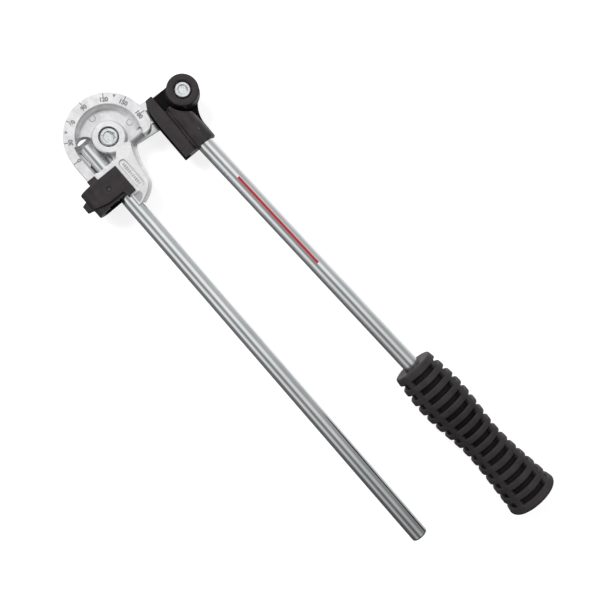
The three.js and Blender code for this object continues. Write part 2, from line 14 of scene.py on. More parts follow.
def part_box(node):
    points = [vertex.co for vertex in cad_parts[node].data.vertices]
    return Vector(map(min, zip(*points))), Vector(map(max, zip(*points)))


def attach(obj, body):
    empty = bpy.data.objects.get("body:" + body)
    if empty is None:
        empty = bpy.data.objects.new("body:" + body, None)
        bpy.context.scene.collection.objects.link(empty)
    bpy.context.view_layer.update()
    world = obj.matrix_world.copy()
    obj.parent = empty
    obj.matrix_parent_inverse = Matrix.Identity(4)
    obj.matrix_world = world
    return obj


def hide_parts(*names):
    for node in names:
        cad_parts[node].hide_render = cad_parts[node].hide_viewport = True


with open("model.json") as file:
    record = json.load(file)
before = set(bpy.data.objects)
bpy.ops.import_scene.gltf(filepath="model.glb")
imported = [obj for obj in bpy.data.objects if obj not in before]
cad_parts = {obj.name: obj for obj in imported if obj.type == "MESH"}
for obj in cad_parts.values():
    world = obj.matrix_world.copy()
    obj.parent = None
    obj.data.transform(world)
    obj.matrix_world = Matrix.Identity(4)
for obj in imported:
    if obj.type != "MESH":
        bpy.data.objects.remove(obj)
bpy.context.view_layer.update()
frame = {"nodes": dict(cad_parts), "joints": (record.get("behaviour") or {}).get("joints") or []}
JOINTS = {joint["name"]: joint for joint in frame["joints"]}
NODES = frame["nodes"]
MM = 0.001

# ------------------------------------------------------------------ places and sizes
# All in metres, unless the comment says millimetres.
PIVOT = Vector(JOINTS["link_swing"]["pos_m"])
OUTER_PIVOT = Vector(JOINTS["lever_swing"]["pos_m"])
HOOK_PIVOT = Vector(JOINTS["hook_swing"]["pos_m"])
LEVER_TILT = math.radians(2.55)
BAR_R = 7 * MM
BAR_CHAMFER = 0.9 * MM
FIT = 0.15 * MM                      # gap between pieces that fit into each other
NOTCH_R = 1.9 * MM                   # the fixed bar's notch for the hook pin
STRIPE = (68 * MM, 161 * MM, 1.1 * MM)  # painted on the lever bar: from, to, half width

PIN_BODIES = {"main_pin": "former", "lever_pin": "link"}
SHANK_R = {"main_pin": 5 * MM, "lever_pin": 4.5 * MM}
HEAD_R = {"main_pin": 7 * MM, "lever_pin": 6.3 * MM}
HEAD_HEIGHT = 3.8 * MM
CLIP_GROOVE = 0.5 * MM               # depth of the groove for a pin's clip
CLIP_PLAY = 0.1 * MM
THRUST_HOLE_R = {"link_washer": 6.6 * MM, "shoe_washer": 6.1 * MM}
LINK_R = 12.9 * MM

# The scale's radii run from the main pivot. Its face stands 2 mm above the fixed bar's top.
SCALE_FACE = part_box("fixed_bar")[1].z + 2 * MM
SPRING_BACK = 2.6                    # degrees
NUMBER_RADIUS = 29.2 * MM
NUMBER_SIZE = 4.6 * MM
NUMBER_WEIGHT = 0.24 * MM            # how far the strokes are thickened on each side
LINE_RADIUS = 32.9 * MM
ARROW_RADIUS = 32.2 * MM
MARK_HEIGHT = 0.18 * MM

RECESS_DEPTH = 7.5 * MM
# Details cast on the former, in millimetres from the main pivot.
EJECTOR_PLACES = [(0, 20.5), (-20.5, 0)]
# Section of the raised ring round an ejector pin's mark: radius and height, in millimetres.
EJECTOR_RING = [(2.0, -0.2), (2.7, -0.2), (2.7, 0.08), (2.5, 0.16), (2.2, 0.16), (2.0, 0.08)]
PIP_COUNT = 11
PIP_PITCH = 1.9
FIRST_PIP = (23.4, -5.2)
TIP_FIELD = [(47.2, -9.7), (47.2, -15), (54.3, -15), (52.6, -11.2), (49.6, -8.9)]

GRIP_LENGTH = 148.8 * MM
GRIP_CAP = 8.1 * MM                  # the grip's length past the end of the bar
RIB_PITCH = 10 * MM
RIB_WIDTH = 5 * MM
RIB_COUNT = 13
FIRST_RIB = 13.8 * MM                # middle of the first rib after the collar, from the grip's start
RIB_EDGE = 0.75 * MM                 # reach of the soft edge on each side of a rib
GROOVE_DEPTH = 3.2 * MM
# The lengthwise bridges, as angles from straight up towards the tool's outer side.
BRIDGES = [math.radians(42.5 + 90 * i) for i in range(4)]
BRIDGE_HALF = math.radians(7.5)
# A palm swell, a waist and a flared end: distance from the grip's start and radius over the ribs,
# in millimetres.
GRIP_SHAPE = [
    (0, 17.7), (14, 19.4), (33, 20.9), (53, 20.0), (73, 17.9),
    (86, 17.2), (103, 18.0), (128, 20.4), (150, 22.8),
]
# Rounding of the grip's two ends: inset from the radius, and distance from the end, in millimetres.
COLLAR_EDGE = [(2.2, 0.0), (1.2, 0.08), (0.55, 0.35), (0.15, 0.8), (0.0, 1.4)]
END_EDGE = [(0.1, 3.0), (0.3, 2.0), (0.8, 1.1), (1.5, 0.45), (2.4, 0.1), (3.4, 0.0), (4.2, 0.25), (4.5, 0.9)]

# Brightness of the studio by the angle round the bars' direction, from straight up: -1 and 1 are straight
# down, negative is the hook's side and positive the lever's side.
STUDIO_BANDS = [
    (-1.0, 0.16), (-0.62, 0.16), (-0.47, 0.22), (-0.40, 0.85), (-0.30, 0.90), (-0.19, 0.30), (-0.09, 0.24),
    (0.01, 0.92), (0.13, 0.95), (0.22, 0.48), (0.38, 0.46), (0.52, 0.72), (0.66, 1.0), (1.0, 1.1),
]

ON_AXIS = 1e-7                       # a radius below this is a point on the axis
WELD = 1e-6                          # vertices closer than this become one
SEED = 11


# ------------------------------------------------------------------ mesh tools
def add_object(name, mesh, matrix=None):
    piece = bpy.data.objects.new(name, mesh)
    bpy.context.scene.collection.objects.link(piece)
    piece.matrix_world = matrix or Matrix.Identity(4)
    return piece


def mesh_from(name, vertices, faces):
    mesh = bpy.data.meshes.new(name)
    mesh.from_pydata([tuple(v) for v in vertices], [], faces)
    mesh.update()
    return mesh


def mesh_of(form, name):
    """Turns an edit mesh into a named mesh."""
    mesh = bpy.data.meshes.new(name)
    form.to_mesh(mesh)
    form.free()
    return mesh


def weld(mesh):
    form = bmesh.new()
    form.from_mesh(mesh)
    bmesh.ops.remove_doubles(form, verts=form.verts, dist=WELD)
    form.to_mesh(mesh)
    form.free()


def prism_mesh(outline, half_height):
    count = len(outline)
    vertices = [(x, y, z) for z in (-half_height, half_height) for x, y in outline]
    faces = [list(range(count))[::-1], list(range(count, 2 * count))]
    faces += [[i, (i + 1) % count, count + (i + 1) % count, count + i] for i in range(count)]
    return mesh_from("prism", vertices, faces)


def apply_modifiers(piece):
    graph = bpy.context.evaluated_depsgraph_get()
    mesh = bpy.data.meshes.new_from_object(piece.evaluated_get(graph))
    piece.modifiers.clear()
    piece.data = mesh
    return piece


def smooth_by_angle(piece, degrees=35):
    """Smooth shading, with the edges sharper than that angle kept crisp."""
    form = bmesh.new()
    form.from_mesh(piece.data)
    bmesh.ops.recalc_face_normals(form, faces=form.faces)
    limit = math.radians(degrees)
    for face in form.faces:
        face.smooth = True
    for edge in form.edges:
        edge.smooth = len(edge.link_faces) == 2 and edge.calc_face_angle(0) < limit
    form.to_mesh(piece.data)
    form.free()
    return piece


def lathe(name, profile, matrix, segments=96):
    """A closed profile of (radius, height) turned round the piece's own Z axis."""
    vertices, rings = [], []
    for radius, height in profile:
        if radius < ON_AXIS:
            rings.append([len(vertices)] * segments)
            vertices.append((0, 0, height))
            continue
        rings.append(list(range(len(vertices), len(vertices) + segments)))
        for i in range(segments):
            angle = 2 * math.pi * i / segments
            vertices.append((radius * math.cos(angle), radius * math.sin(angle), height))
    faces = []
    pairs = list(zip(rings, rings[1:]))
    if profile[0][0] >= ON_AXIS or profile[-1][0] >= ON_AXIS:
        pairs.append((rings[-1], rings[0]))
    for low, high in pairs:
        for i in range(segments):
            j = (i + 1) % segments
            face = list(dict.fromkeys([low[i], low[j], high[j], high[i]]))
            if len(face) > 2:
                faces.append(face)
    return smooth_by_angle(add_object(name, mesh_from(name, vertices, faces), matrix))


def rounded(corners, radius, steps=4):
    """The same profile with its inner corners replaced by small arcs. The two end points stay."""
    points = [corners[0]]
    for before, corner, after in zip(corners, corners[1:], corners[2:]):
        a, b, c = Vector(before), Vector(corner), Vector(after)
        reach = min(radius, (a - b).length * 0.45, (c - b).length * 0.45)
        start = b + (a - b).normalized() * reach
        end = b + (c - b).normalized() * reach
        for k in range(steps + 1):
            t = k / steps
            points.append(tuple(start * (1 - t) ** 2 + b * 2 * t * (1 - t) + end * t * t))
    return points + [corners[-1]]


def circle(x, y, radius, start=0.0, end=2 * math.pi, count=64):
    """Points round an arc, both ends included, or round a whole circle, its start not repeated."""
    whole = end - start >= 2 * math.pi
    steps = count if whole else count - 1
    angles = [start + (end - start) * k / steps for k in range(count)]
    return [(x + radius * math.cos(a), y + radius * math.sin(a)) for a in angles]


def plate(name, outlines, low, high, edge, matrix=None):
    """A flat piece cut from sheet, with holes and softened edges."""
    curve = bpy.data.curves.new(name, "CURVE")
    curve.dimensions = "2D"
    curve.fill_mode = "BOTH"
    curve.extrude = (high - low) / 2 - edge
    curve.bevel_depth = edge
    curve.bevel_resolution = 1
    curve.offset = -edge
    for outline in outlines:
        spline = curve.splines.new("POLY")
        spline.points.add(len(outline) - 1)
        for point, (x, y) in zip(spline.points, outline):
            point.co = (x, y, 0, 1)
        spline.use_cyclic_u = True
    source = add_object(name + "_outline", curve, Matrix.Translation((0, 0, (low + high) / 2)))
    mesh = bpy.data.meshes.new_from_object(source)
    mesh.transform(source.matrix_world)
    bpy.data.objects.remove(source)
    weld(mesh)
    mesh.name = name
    return smooth_by_angle(add_object(name, mesh, matrix), 30)


def cast_copy(name, node, voxel, rounds, keep):
    """A casting's own surface: the node's shape with softly rounded edges and corners."""
    mesh = NODES[node].data.copy()
    weld(mesh)
    mesh.materials.clear()
    piece = add_object(name, mesh)
    remesh = piece.modifiers.new("Remesh", "REMESH")
    remesh.mode = "VOXEL"
    remesh.voxel_size = voxel
    remesh.use_smooth_shade = True
    soften = piece.modifiers.new("Soften", "SMOOTH")
    soften.factor = 0.5
    soften.iterations = rounds
    lighten = piece.modifiers.new("Lighten", "DECIMATE")
    lighten.ratio = keep
    apply_modifiers(piece)
    for face in piece.data.polygons:
        face.use_smooth = True
    return piece


def drill(piece, cutters):
    """Cuts round holes. Each cutter is (centre, direction, radius, length)."""
    for centre, direction, radius, length in cutters:
        turn = Vector(direction).to_track_quat("Z", "Y").to_matrix().to_4x4()
        profile = [(0, -length / 2), (radius, -length / 2), (radius, length / 2), (0, length / 2)]
        cutter = lathe("cutter", profile, Matrix.Translation(centre) @ turn, 48)
        hole = piece.modifiers.new("Hole", "BOOLEAN")
        hole.operation = "DIFFERENCE"
        hole.solver = "EXACT"
        hole.object = cutter
        apply_modifiers(piece)
        bpy.data.objects.remove(cutter)
    return smooth_by_angle(piece)


def settle(piece, body, slot, material, *nodes):
    """Gives a piece its body and material, and hides the CAD nodes that it stands for. The slot is not used.
    """
    piece.data.materials.clear()
    piece.data.materials.append(material)
    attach(piece, body)
    if nodes:
        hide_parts(*nodes)
    return piece


# ------------------------------------------------------------------ material tools
class Nodes:
    """Short names for the nodes and links of one material."""

    def __init__(self, name):
        self.material = bpy.data.materials.new(name)
        self.material.use_nodes = True
        self.tree = self.material.node_tree
        self.shader = self.tree.nodes["Principled BSDF"]
        self.place = self.add("ShaderNodeTexCoord").outputs["Object"]

    def add(self, kind, **settings):
        node = self.tree.nodes.new(kind)
        for key, value in settings.items():
            setattr(node, key, value)
        return node

    def feed(self, node, socket, value):
        if isinstance(value, bpy.types.NodeSocket):
            self.tree.links.new(value, node.inputs[socket])
        else:
            node.inputs[socket].default_value = value

    def stretched(self, scale):
        """Object coordinates in millimetres, times a scale for each axis."""
        mapping = self.add("ShaderNodeMapping")
        self.feed(mapping, "Vector", self.place)
        self.feed(mapping, "Scale", [1000 * s for s in scale])
        return mapping.outputs["Vector"]

    def noise(self, size, detail=3.0, roughness=0.55, stretch=(1, 1, 1), offset=0.0):
        """Noise whose features are about that many millimetres across."""
        node = self.add("ShaderNodeTexNoise", noise_dimensions="4D")
        self.feed(node, "Vector", self.stretched([s / size for s in stretch]))
        self.feed(node, "W", SEED + offset)
        self.feed(node, "Scale", 1.0)
        self.feed(node, "Detail", detail)
        self.feed(node, "Roughness", roughness)
        return node.outputs["Fac"]

    def ramp(self, value, *stops):
        """Maps a value to greys: each stop is (position, grey)."""
        node = self.add("ShaderNodeValToRGB")
        self.feed(node, "Fac", value)
        elements = node.color_ramp.elements
        while len(elements) < len(stops):
            elements.new(0.5)
        for element, (position, grey) in zip(elements, stops):
            element.position = position
            element.color = (grey, grey, grey, 1)
        return node.outputs["Color"]

    def math(self, operation, *values):
        node = self.add("ShaderNodeMath", operation=operation)
        for i, value in enumerate(values):
            self.feed(node, i, value)
        return node.outputs["Value"]

    def mix(self, factor, a, b):
        node = self.add("ShaderNodeMix", data_type="RGBA")
        self.feed(node, 0, factor)
        self.feed(node, 6, a if isinstance(a, bpy.types.NodeSocket) else (*a, 1))
        self.feed(node, 7, b if isinstance(b, bpy.types.NodeSocket) else (*b, 1))
        return node.outputs[2]

    def bump(self, height, strength, distance, under=None):
        node = self.add("ShaderNodeBump")
        self.feed(node, "Height", height)
        self.feed(node, "Strength", strength)
        self.feed(node, "Distance", distance)
        if under is not None:
            self.feed(node, "Normal", under)
        return node.outputs["Normal"]

    def above(self, low, high):
        """0 deep down between the walls, 1 in the open: by height over the bars' axes."""
        split = self.add("ShaderNodeSeparateXYZ")
        self.feed(split, "Vector", self.place)
        share = self.add("ShaderNodeMapRange", interpolation_type="SMOOTHSTEP")
        self.feed(share, "Value", split.outputs["Z"])
        self.feed(share, "From Min", PIVOT.z + low)
        self.feed(share, "From Max", PIVOT.z + high)
        return share.outputs["Result"]

    def edges(self, low, high):
        """0 on flats and hollows, 1 on outer edges."""
        pointiness = self.add("ShaderNodeNewGeometry").outputs["Pointiness"]
        return self.ramp(pointiness, (low, 0.0), (high, 1.0))

    def hollows(self, low, high):
        """1 in tight inner corners, 0 elsewhere."""
        pointiness = self.add("ShaderNodeNewGeometry").outputs["Pointiness"]
        return self.ramp(pointiness, (low, 1.0), (high, 0.0))

    def finish(self, **sockets):
        for name, value in sockets.items():
            self.feed(self.shader, name.replace("_", " "), value)
        return self.material


def cast_aluminium():
    """Bright tumbled die casting: a fine skin, faint clouds, painted shade in the inner corners, and outer
    edges lightened partly as wear and partly as a painted highlight.
    """
    n = Nodes("cast_aluminium")
    skin = n.noise(0.5, 4, 0.6)
    cloud = n.noise(7, 3, 0.5, offset=3)
    patches = n.ramp(cloud, (0.35, 0.0), (0.65, 1.0))
    tone = n.mix(patches, (0.72, 0.71, 0.72), (0.87, 0.865, 0.87))
    stain = n.ramp(n.noise(2.6, 4, 0.7, offset=9), (0.52, 0.0), (0.74, 0.5))
    tone = n.mix(stain, tone, (0.66, 0.64, 0.64))
    # Painted shade: the tight inner corners are darkened.
    tone = n.mix(n.hollows(0.42, 0.494), tone, (0.20, 0.19, 0.195))
    # Lighter outer edges: partly wear, partly a painted highlight.
    tone = n.mix(n.edges(0.52, 0.60), tone, (0.96, 0.955, 0.96))
    gloss = n.ramp(n.noise(1.8, 3, 0.6, offset=5), (0.3, 0.34), (0.7, 0.48))
    fine = n.bump(skin, 0.30, 0.00010)
    normal = n.bump(cloud, 0.22, 0.0004, fine)
    return n.finish(Base_Color=tone, Metallic=0.8, Roughness=gloss, Normal=normal)


def scale_mark_aluminium():
    """The raised marks: the same casting, in a darker grey that is painted shade."""
    n = Nodes("scale_mark_aluminium")
    # Painted shade: the marks are darker grey than the casting round them.
    tone = n.mix(n.noise(0.8, 3), (0.17, 0.165, 0.165), (0.36, 0.35, 0.35))
    normal = n.bump(n.noise(0.4, 3), 0.4, 0.0001)
    return n.finish(Base_Color=tone, Metallic=0.6, Roughness=0.5, Normal=normal)


def field_aluminium():
    """The grey ground of the arm's sunk fields: rough cast skin."""
    n = Nodes("field_aluminium")
    grain = n.noise(0.6, 4, 0.7)
    tone = n.mix(grain, (0.34, 0.33, 0.34), (0.62, 0.61, 0.62))
    normal = n.bump(grain, 0.8, 0.0003)
    return n.finish(Base_Color=tone, Metallic=0.75, Roughness=0.5, Normal=normal)


def painted_stripe(n, start, end, half_width):
    """1 on a stripe that runs along the top of a bar, with slightly ragged edges."""
    split = n.add("ShaderNodeSeparateXYZ")
    n.feed(split, "Vector", n.place)
    up, across, along = split.outputs["X"], split.outputs["Y"], split.outputs["Z"]
    wander = n.math("MULTIPLY", n.math("SUBTRACT", n.noise(1.3, 3, 0.7, offset=14), 0.5), 0.5 * MM)
    inside = n.math("LESS_THAN", n.math("ADD", n.math("ABSOLUTE", across), wander), half_width)
    from_middle = n.math("ABSOLUTE", n.math("SUBTRACT", along, (start + end) / 2))
    within = n.math("LESS_THAN", n.math("ADD", from_middle, wander), (end - start) / 2)
    return n.math("MULTIPLY", n.math("MULTIPLY", inside, within), n.math("GREATER_THAN", up, 0.0))


def zinc_steel(name, along, stripe=None):
    """Zinc plate on drawn or rolled steel: soft lines along the metal, and faint cloudy patches."""
    n = Nodes(name)
    lines = n.noise(0.7, 3, 0.6, stretch=along)
    broad = n.noise(2.2, 2, 0.5, stretch=along, offset=2)
    cloud = n.noise(14, 4, 0.6, stretch=(1, 1, 0.35), offset=4)
    patches = n.ramp(cloud, (0.3, 0.0), (0.7, 1.0))
    tone = n.mix(patches, (0.70, 0.725, 0.74), (0.83, 0.84, 0.845))
    tone = n.mix(n.ramp(lines, (0.25, 0.35), (0.45, 0.0)), tone, (0.54, 0.56, 0.58))
    blend = n.math("ADD", n.math("MULTIPLY", cloud, 0.6), n.math("MULTIPLY", lines, 0.4))
    gloss = n.ramp(blend, (0.35, 0.13), (0.65, 0.22))
    fine = n.bump(lines, 0.10, 0.00004)
    normal = n.bump(broad, 0.10, 0.00010, fine)
    if stripe is None:
        return n.finish(Base_Color=tone, Metallic=1.0, Roughness=gloss, Normal=normal)
    paint = painted_stripe(n, *stripe)
    red = n.mix(n.noise(0.9, 3, offset=15), (0.20, 0.006, 0.011), (0.31, 0.012, 0.019))
    tone = n.mix(paint, tone, red)
    gloss = n.math("ADD", gloss, n.math("MULTIPLY", paint, 0.2))
    bare = n.math("SUBTRACT", 1.0, paint)
    return n.finish(Base_Color=tone, Metallic=bare, Roughness=gloss, Normal=normal)


def pin_steel():
    """Turned and polished steel: faint rings round the axis, soft dents and fine handling scratches."""
    n = Nodes("pin_steel")
    split = n.add("ShaderNodeSeparateXYZ")
    n.feed(split, "Vector", n.place)
    x, y = split.outputs["X"], split.outputs["Y"]
    radius = n.math("SQRT", n.math("ADD", n.math("MULTIPLY", x, x), n.math("MULTIPLY", y, y)))
    rings = n.math("SINE", n.math("MULTIPLY", radius, 2 * math.pi / (0.32 * MM)))
    scratches = n.noise(0.5, 4, 0.7, stretch=(1, 0.12, 1), offset=7)
    dents = n.noise(3.4, 3, 0.6, offset=12)
    tone = n.mix(n.noise(2.4, 3, offset=6), (0.60, 0.635, 0.65), (0.90, 0.91, 0.91))
    gloss = n.ramp(scratches, (0.35, 0.12), (0.7, 0.26))
    fine = n.bump(rings, 0.05, 0.00003)
    worn = n.bump(scratches, 0.10, 0.00008, fine)
    normal = n.bump(dents, 0.55, 0.0012, worn)
    return n.finish(Base_Color=tone, Metallic=1.0, Roughness=gloss, Normal=normal)


def spring_steel():
    """Dark oiled spring steel."""
    n = Nodes("spring_steel")
    tone = n.mix(n.noise(1.5, 3), (0.045, 0.042, 0.042), (0.13, 0.125, 0.12))
    normal = n.bump(n.noise(0.3, 3), 0.3, 0.00006)
    gloss = n.ramp(n.noise(2, 2), (0.3, 0.3), (0.7, 0.5))
    return n.finish(Base_Color=tone, Metallic=0.9, Roughness=gloss, Normal=normal)


def bronze():
    """Sintered bearing bronze with fine dark pores."""
    n = Nodes("bearing_bronze")
    pores = n.noise(0.25, 3, 0.7)
    tone = n.mix(pores, (0.30, 0.20, 0.10), (0.52, 0.38, 0.21))
    normal = n.bump(pores, 0.35, 0.00008)
    return n.finish(Base_Color=tone, Metallic=0.95, Roughness=0.48, Normal=normal)


def black_casting():
    """Black-coated casting: satin over fine grain, lighter grey on its outer edges as wear and painted
    highlight, and painted shade in its inner corners and deep down.
    """
    n = Nodes("black_casting")
    grain = n.noise(0.45, 4, 0.65)
    cloud = n.noise(7, 3, 0.5, offset=3)
    patches = n.ramp(cloud, (0.3, 0.0), (0.7, 1.0))
    tone = n.mix(patches, (0.011, 0.0088, 0.0098), (0.021, 0.017, 0.0185))
    # Painted shade: the tight inner corners are darkened.
    tone = n.mix(n.hollows(0.40, 0.49), tone, (0.006, 0.005, 0.006))
    # Painted shade: deep down between the walls the casting turns near black and loses its shine.
    open_share = n.above(-2 * MM, 6 * MM)
    tone = n.mix(open_share, (0.003, 0.0025, 0.003), tone)
    # Lighter grey in patches on the outer edges: partly wear, partly a painted highlight.
    patchy = n.ramp(n.noise(1.2, 3, 0.7, offset=8), (0.38, 0.0), (0.62, 1.0))
    rubbed_and_highlight = n.math("MULTIPLY", n.edges(0.515, 0.60), patchy)
    tone = n.mix(n.math("MULTIPLY", rubbed_and_highlight, 0.6), tone, (0.19, 0.18, 0.18))
    gloss = n.ramp(n.noise(2.2, 3, 0.6, offset=5), (0.3, 0.36), (0.7, 0.52))
    fine = n.bump(grain, 0.40, 0.00012)
    normal = n.bump(cloud, 0.2, 0.0004, fine)
    # Painted shade: less shine deep down between the walls.
    shine = n.math("ADD", n.math("MULTIPLY", open_share, 0.3), 0.1)
    return n.finish(
        Base_Color=tone, Metallic=0.0, Roughness=gloss, Normal=normal, Specular_IOR_Level=shine,
    )


def grip_rubber(name, shade=1.0):
    """Moulded black elastomer with a fine leathery grain. Shade below 1 makes a darker and duller copy:
    painted shade for the groove floors.
    """
    n = Nodes(name)
    grain = n.noise(0.5, 4, 0.65)
    blotch = n.noise(11, 3, 0.55, offset=3)
    dark = [c * shade for c in (0.0108, 0.0088, 0.0094)]
    light = [c * shade for c in (0.019, 0.016, 0.0165)]
    tone = n.mix(n.ramp(blotch, (0.3, 0.0), (0.7, 1.0)), dark, light)
    # Painted highlight: the ribs' outer edges are lighter.
    tone = n.mix(n.math("MULTIPLY", n.edges(0.51, 0.58), 0.3 * shade), tone, (0.08, 0.074, 0.072))
    gloss = n.ramp(n.noise(3, 3, 0.6, offset=5), (0.3, 0.48), (0.7, 0.64))
    normal = n.bump(grain, 0.35, 0.00012)
    # Less shine with shade below 1: part of the painted shade.
    shine = 0.4 * shade
    return n.finish(
        Base_Color=tone, Metallic=0.0, Roughness=gloss, Normal=normal, Specular_IOR_Level=shine,
    )


# ------------------------------------------------------------------ pieces
def along_x(start, tilt=0.0):
    """A frame at start whose Z axis runs along the bar, and whose X axis points up."""
    across = Vector((-math.sin(tilt), math.cos(tilt), 0))
    axis = Vector((math.cos(tilt), math.sin(tilt), 0))
    up = Vector((0, 0, 1))
    matrix = Matrix((up, -across, axis)).transposed().to_4x4()
    return Matrix.Translation(start) @ matrix


def bar_profile(length):
    """Radius and height round a bar's section, with a softened chamfer at each end."""
    inner = BAR_R - BAR_CHAMFER
    corners = [
        (0, 0), (inner, 0), (BAR_R, BAR_CHAMFER), (BAR_R, length - BAR_CHAMFER), (inner, length), (0, length),
    ]
    return rounded(corners, 0.6 * MM)


def roll_pin_hole(node):
    """The cutter for a roll pin's hole: open at the back, and closed just above the pin."""
    low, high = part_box(node)
    centre = (low + high) / 2
    radius = (high.x - low.x) / 2 + FIT
    bottom = centre.z - 20 * MM
    top = high.z + 0.2 * MM
    return Vector((centre.x, centre.y, (bottom + top) / 2)), (0, 0, 1), radius, top - bottom


def make_fixed_bar(steel):
    low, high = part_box("fixed_bar")
    start = Vector((low.x, (low.y + high.y) / 2, PIVOT.z))
    bar = lathe("fixed_bar_steel", bar_profile(high.x - low.x), along_x(start))
    notch = (Vector((HOOK_PIVOT.x, HOOK_PIVOT.y, PIVOT.z)), (0, 0, 1), NOTCH_R, 30 * MM)
    drill(bar, [notch, roll_pin_hole("fixed_bar_roll_pin")])
    settle(bar, "former", "zinc_steel", steel, "fixed_bar")


def lever_axis():
    """Start, direction and length of the lever bar."""
    low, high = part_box("lever_bar")
    direction = Vector((math.cos(LEVER_TILT), math.sin(LEVER_TILT), 0))
    length = (high.x - low.x - 2 * BAR_R * math.sin(LEVER_TILT)) / math.cos(LEVER_TILT)
    middle = Vector(((low.x + high.x) / 2, (low.y + high.y) / 2, PIVOT.z))
    return middle - direction * length / 2, direction, length


def make_lever_bar(steel):
    start, _, length = lever_axis()
    bar = lathe("lever_bar_steel", bar_profile(length), along_x(start, LEVER_TILT))
    drill(bar, [roll_pin_hole("lever_roll_pin")])
    settle(bar, "lever", "zinc_steel", steel, "lever_bar")


def make_pin(name, node, body, steel):
    """A headed pin with a dished head and a groove for its clip."""
    low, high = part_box(node)
    clip_low, clip_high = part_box(node + "_circlip")
    groove_low = clip_low.z - CLIP_PLAY
    groove_high = clip_high.z + CLIP_PLAY
    centre = (low + high) / 2
    shank_r, head_r = SHANK_R[node], HEAD_R[node]
    groove_r = shank_r - CLIP_GROOVE
    head_low = high.z - HEAD_HEIGHT
    edge = 0.55 * MM
    tip = 0.5 * MM
    corners = [
        (0, low.z), (shank_r - tip, low.z), (shank_r, low.z + tip),
        (shank_r, groove_low), (groove_r, groove_low), (groove_r, groove_high), (shank_r, groove_high),
        (shank_r, head_low), (head_r, head_low), (head_r, high.z - edge), (head_r - edge, high.z),
        (head_r * 0.66, high.z), (head_r * 0.52, high.z - 0.4 * MM), (0, high.z - edge),
    ]
    pin = lathe(name, rounded(corners, 0.25 * MM, 3), Matrix.Translation((centre.x, centre.y, 0)))
    settle(pin, body, "pin_steel", steel, node)


def make_washer(name, node, body, hole_r, steel):
    low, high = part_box(node)
    centre = (low + high) / 2
    radius = (high.x - low.x) / 2
    washer = plate(name, [circle(0, 0, radius), circle(0, 0, hole_r)], low.z, high.z, 0.08 * MM,
                   Matrix.Translation((centre.x, centre.y, 0)))
    settle(washer, body, "zinc_steel", steel, node)


def make_circlip(name, pin, body, steel):
    """A snap ring on a pin. Its open ends carry two eyes for pliers."""
    node = pin + "_circlip"
    low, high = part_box(node)
    pin_low, pin_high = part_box(pin)
    centre = (pin_low + pin_high) / 2
    inner = SHANK_R[pin] - 0.35 * MM
    outer = SHANK_R[pin] + 1.5 * MM
    eye_r = 1.45 * MM
    gap = math.radians(20)
    eyes = [Vector((math.cos(s * gap * 1.5), math.sin(s * gap * 1.5))) * (outer + 0.1 * MM) for s in (1, -1)]
    ring = circle(0, 0, outer, gap * 1.9, 2 * math.pi - gap * 1.9, 56)
    lower_eye = circle(eyes[1].x, eyes[1].y, eye_r, -1.9, 1.25, 12)
    upper_eye = circle(eyes[0].x, eyes[0].y, eye_r, -1.25, 1.9, 12)
    inside = circle(0, 0, inner, gap, 2 * math.pi - gap, 56)[::-1]
    holes = [circle(eye.x, eye.y, 0.6 * MM, count=20) for eye in eyes]
    clip = plate(name, [ring + lower_eye + inside + upper_eye] + holes, low.z, high.z, 0.06 * MM,
                 Matrix.Translation((centre.x, centre.y, 0)))
    settle(clip, body, "spring_steel", steel, node)


def make_link(steel):
    low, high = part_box("link_plate")
    reach = OUTER_PIVOT - PIVOT
    outline = circle(reach.length, 0, LINK_R, -math.pi / 2, math.pi / 2, 40)
    outline += circle(0, 0, LINK_R, math.pi / 2, 3 * math.pi / 2, 40)
    holes = [
        circle(0, 0, SHANK_R["main_pin"] + FIT),
        circle(reach.length, 0, SHANK_R["lever_pin"] + FIT),
    ]
    turn = Matrix.Rotation(math.atan2(reach.y, reach.x), 4, "Z")
    link = plate("link_plate_steel", [outline] + holes, low.z, high.z, 0.45 * MM,
                 Matrix.Translation((PIVOT.x, PIVOT.y, 0)) @ turn)
    settle(link, "link", "zinc_steel", steel, "link_plate")


def make_hook_pin(steel):
    low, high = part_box("hook_pin")
    radius = (high.x - low.x) / 2
    edge = 0.3 * MM
    corners = [
        (0, low.z), (radius - edge, low.z), (radius, low.z + edge),
        (radius, high.z - edge), (radius - edge, high.z), (0, high.z),
    ]
    place = Matrix.Translation((HOOK_PIVOT.x, HOOK_PIVOT.y, 0))
    pin = lathe("hook_pin_steel", rounded(corners, 0.2 * MM, 2), place, 48)
    settle(pin, "former", "spring_steel", steel, "hook_pin")


# ------------------------------------------------------------------ scale
def scale_angle(mark):
    """Where a mark in degrees stands: 0 faces -Y and 90 faces -X. Past 90 it allows for spring-back."""
    allowance = SPRING_BACK if mark > 90 else 0
    return math.radians(270 - mark - allowance)


def rectangle(half, reach):
    return [(-half, -reach), (half, -reach), (half, reach), (-half, reach)]


def scale_point(mark, radius):
    """A point on the scale face."""
    angle = scale_angle(mark)
    return Vector((PIVOT.x + radius * math.cos(angle), PIVOT.y + radius * math.sin(angle), SCALE_FACE))


def number_mesh(text):
    curve = bpy.data.curves.new("number", "FONT")
    curve.body = text
    curve.size = NUMBER_SIZE
    curve.align_x = "CENTER"
    curve.align_y = "CENTER"
    curve.extrude = MARK_HEIGHT
    curve.offset = NUMBER_WEIGHT
    source = add_object("number", curve)
    mesh = bpy.data.meshes.new_from_object(source)
    bpy.data.objects.remove(source)
    return mesh


def scale_turn(mark):
    return Matrix.Rotation(scale_angle(mark) - math.pi / 2, 4, "Z")


def raised_mark(form, mark, radius, mesh):
    """Adds a mesh at its mark on the scale, turned to face the pivot."""
    mesh.transform(Matrix.Translation(scale_point(mark, radius)) @ scale_turn(mark))
    form.from_mesh(mesh)


